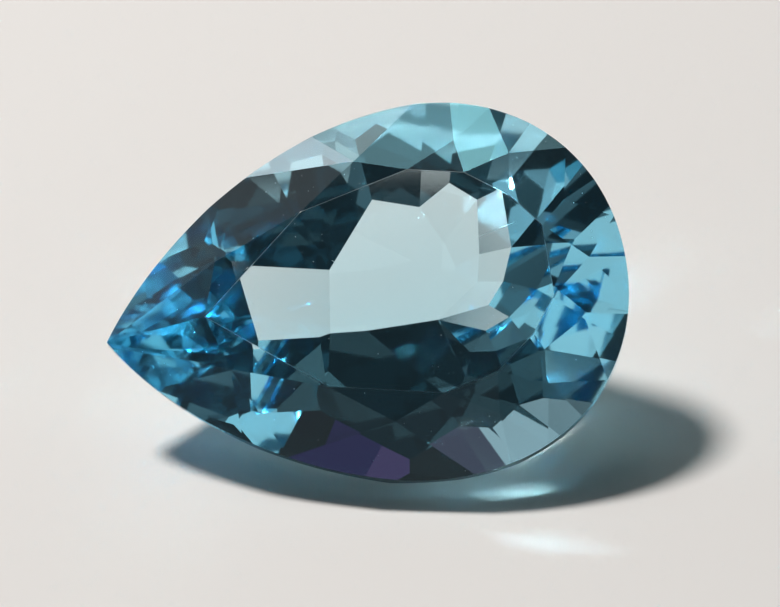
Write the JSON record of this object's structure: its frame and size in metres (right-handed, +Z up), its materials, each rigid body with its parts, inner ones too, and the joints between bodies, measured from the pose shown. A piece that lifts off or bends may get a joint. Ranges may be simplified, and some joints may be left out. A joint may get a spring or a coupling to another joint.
{
  "type": "faceted topaz gemstone",
  "caption": "Loose pear-cut blue topaz: large table, brilliant crown, faceted pavilion, lying on one flank facet with the table tilted up.",
  "frame": {"origin": "centre of the bounding box's footprint, on the surface the stone lies on", "axes": "+Z up, out of the resting facet; X along the stone's length, with the point towards -X and the round head towards +X; the table leans towards -Y"},
  "size_m": [0.0198, 0.012, 0.0107],
  "materials": {
    "topaz": "polished, clear blue, see-through, refractive index 1.62"
  },
  "bodies": {
    "root": {"faceted_topaz": "topaz"}
  },
  "joints": []
}
